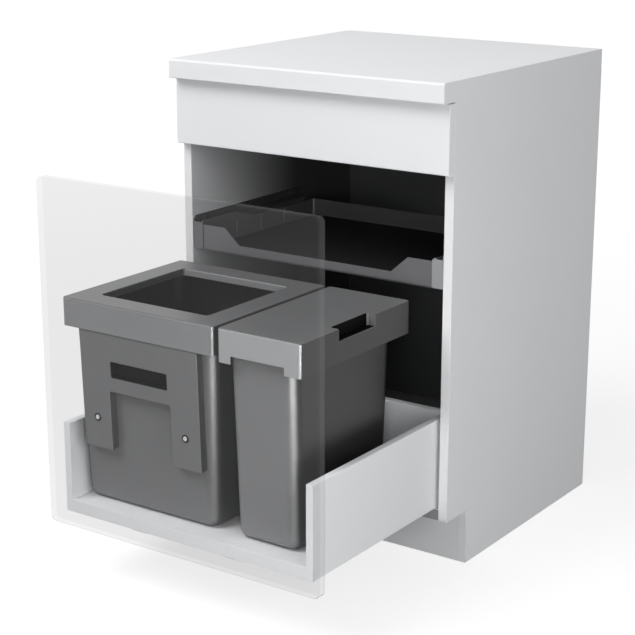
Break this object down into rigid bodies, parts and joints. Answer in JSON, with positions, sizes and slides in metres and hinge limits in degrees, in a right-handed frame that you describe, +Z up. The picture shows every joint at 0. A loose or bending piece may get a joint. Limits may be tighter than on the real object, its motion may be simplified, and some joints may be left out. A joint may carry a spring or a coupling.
{
  "type": "pull out trash cabinet",
  "caption": "Kitchen base cabinet with a worktop, a fixed upper front, a pull-out drawer that carries two lift-out bins, and a sliding tray over the bins.",
  "frame": {"origin": "on the floor, in the middle of the whole footprint with the drawer pulled out as in the picture", "axes": "+Z up, +X to the right seen from the front, fronts face -Y and the wall side faces +Y"},
  "size_m": [0.6, 0.971, 0.912],
  "materials": {
    "board": "white laminated board, satin",
    "worktop": "pale laminate, satin",
    "front_board": "white laminated board, satin",
    "see_through_front": "white laminated board, shown see-through",
    "drawer_board": "white laminated board, satin",
    "runner_steel": "zinc-plated sheet steel",
    "bracket_paint": "grey powder coat",
    "screw_steel": "zinc-plated",
    "clip_plastic": "moulded, matt",
    "tray_plastic": "moulded, satin",
    "mat_rubber": "soft, non-slip",
    "bin_plastic": "moulded, fine satin",
    "cap_plastic": "moulded, fine satin",
    "pin_plastic": "moulded, glossy"
  },
  "bodies": {
    "cabinet": {"side_panel_left": "board", "side_panel_right": "board", "bottom_panel": "board", "back_panel": "board", "wall_rail": "board", "rear_rail": "board", "front_rail": "board", "plinth_board": "board", "worktop": "worktop", "fixed_front": "front_board", "worktop_screws": "screw_steel", "worktop_angles": "screw_steel", "fixed_front_screws": "screw_steel", "runner_screws": "screw_steel", "drawer_runner_fixed_left": "runner_steel", "drawer_runner_fixed_right": "runner_steel", "tray_bracket_left": "bracket_paint", "tray_bracket_right": "bracket_paint", "tray_runner_fixed_left": "runner_steel", "tray_runner_fixed_right": "runner_steel"},
    "drawer": {"drawer_front": "see_through_front", "drawer_side_left": "drawer_board", "drawer_side_right": "drawer_board", "drawer_floor": "drawer_board", "drawer_back": "drawer_board", "front_angles": "screw_steel", "locking_clips": "clip_plastic", "drawer_runner_inner_left": "runner_steel", "drawer_runner_inner_right": "runner_steel"},
    "drawer_runner_middle_left": {"drawer_runner_middle_left": "runner_steel"},
    "drawer_runner_middle_right": {"drawer_runner_middle_right": "runner_steel"},
    "tray": {"tray_shell": "tray_plastic", "tray_mat": "mat_rubber", "tray_runner_inner_left": "runner_steel", "tray_runner_inner_right": "runner_steel"},
    "tray_runner_middle_left": {"tray_runner_middle_left": "runner_steel"},
    "tray_runner_middle_right": {"tray_runner_middle_right": "runner_steel"},
    "large_bin": {"large_bin": "bin_plastic", "handle_plate": "bin_plastic", "handle_pins": "pin_plastic"},
    "bag_frame": {"bag_frame": "cap_plastic"},
    "small_bin": {"small_bin": "bin_plastic"},
    "small_lid": {"small_lid": "cap_plastic"}
  },
  "joints": [
    {"name": "drawer_slide", "type": "slide", "parent": "cabinet", "child": "drawer", "axis": [0, -1, 0], "range_m": [-0.386, 0.064]},
    {"name": "drawer_runner_left_slide", "type": "slide", "parent": "cabinet", "child": "drawer_runner_middle_left", "axis": [0, -1, 0], "range_m": [-0.193, 0.032]},
    {"name": "drawer_runner_right_slide", "type": "slide", "parent": "cabinet", "child": "drawer_runner_middle_right", "axis": [0, -1, 0], "range_m": [-0.193, 0.032]},
    {"name": "tray_slide", "type": "slide", "parent": "cabinet", "child": "tray", "axis": [0, -1, 0], "range_m": [0, 0.3]},
    {"name": "tray_runner_left_slide", "type": "slide", "parent": "cabinet", "child": "tray_runner_middle_left", "axis": [0, -1, 0], "range_m": [0, 0.15]},
    {"name": "tray_runner_right_slide", "type": "slide", "parent": "cabinet", "child": "tray_runner_middle_right", "axis": [0, -1, 0], "range_m": [0, 0.15]},
    {"name": "large_bin_lift", "type": "slide", "parent": "drawer", "child": "large_bin", "axis": [0, 0, 1], "range_m": [0, 0.47]},
    {"name": "bag_frame_lift", "type": "slide", "parent": "large_bin", "child": "bag_frame", "axis": [0, 0, 1], "range_m": [0, 0.12]},
    {"name": "small_bin_lift", "type": "slide", "parent": "drawer", "child": "small_bin", "axis": [0, 0, 1], "range_m": [0, 0.47]},
    {"name": "small_lid_lift", "type": "slide", "parent": "small_bin", "child": "small_lid", "axis": [0, 0, 1], "range_m": [0, 0.12]}
  ],
  "couplings": [
    {"joint": "drawer_runner_left_slide", "follows": "drawer_slide", "ratio": 0.5},
    {"joint": "drawer_runner_right_slide", "follows": "drawer_slide", "ratio": 0.5},
    {"joint": "tray_runner_left_slide", "follows": "tray_slide", "ratio": 0.5},
    {"joint": "tray_runner_right_slide", "follows": "tray_slide", "ratio": 0.5}
  ]
}
